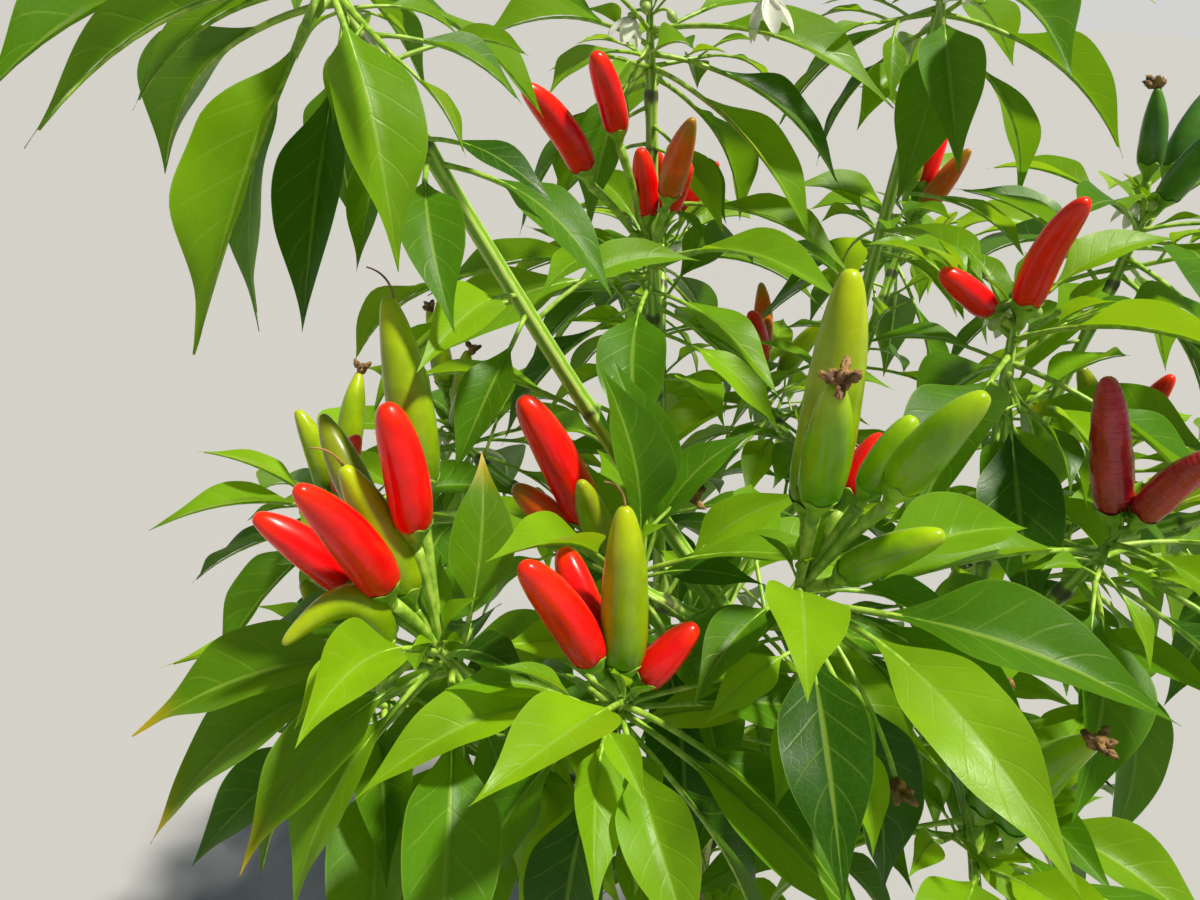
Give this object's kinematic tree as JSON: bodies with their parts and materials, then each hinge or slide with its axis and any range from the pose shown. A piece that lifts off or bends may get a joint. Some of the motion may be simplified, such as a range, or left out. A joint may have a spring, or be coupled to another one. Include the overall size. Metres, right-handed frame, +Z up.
{
  "type": "chilli pepper plant",
  "caption": "Whole chilli pepper plant rooted in the ground: a woody main stem forks into boughs that each end in a tuft of long leaves round upright red and green fruit.",
  "frame": {"origin": "middle of the main stem's flat cut at ground level", "axes": "+Z up along the plant's height, +X to the right and +Y away from the viewer in the picture's view"},
  "size_m": [0.5661, 0.4989, 0.7126],
  "materials": {
    "bark": "rough, grey-brown bark with green showing through",
    "green_stem": "satin, ribbed green stem with dark nodes",
    "foliage": "satin leaves, glossy red and green fruit"
  },
  "bodies": {
    "root": {"bough_back": "bark", "bough_back_left": "bark", "bough_back_right": "bark", "bough_back_upper": "bark", "bough_front": "bark", "bough_front_left": "bark", "bough_front_upper": "bark", "bough_right": "bark", "bough_right_back": "bark", "bough_right_front": "bark", "bough_to_back": "green_stem", "bough_to_back_left_low": "green_stem", "bough_to_back_right_low": "green_stem", "bough_to_back_right_middle": "green_stem", "bough_to_centre_right": "green_stem", "bough_to_high_left": "green_stem", "bough_to_inner": "green_stem", "bough_to_left": "green_stem", "bough_to_left_middle": "green_stem", "bough_to_low_front": "green_stem", "bough_to_low_left": "green_stem", "bough_to_middle": "green_stem", "bough_to_red_right": "green_stem", "bough_to_red_top": "green_stem", "bough_to_right_high": "green_stem", "bough_to_right_low": "green_stem", "bough_to_right_middle": "green_stem", "bough_to_top": "green_stem", "bough_to_top_right": "green_stem", "bough_to_wrinkled_right": "green_stem", "main_stem": "bark", "tuft_back": "foliage", "tuft_back_left_low": "foliage", "tuft_back_right_low": "foliage", "tuft_back_right_middle": "foliage", "tuft_centre_right": "foliage", "tuft_high_left": "foliage", "tuft_inner": "foliage", "tuft_left": "foliage", "tuft_left_middle": "foliage", "tuft_low_front": "foliage", "tuft_low_left": "foliage", "tuft_middle": "foliage", "tuft_red_right": "foliage", "tuft_red_top": "foliage", "tuft_right_high": "foliage", "tuft_right_low": "foliage", "tuft_right_middle": "foliage", "tuft_top": "foliage", "tuft_top_right": "foliage", "tuft_wrinkled_right": "foliage"}
  },
  "joints": []
}
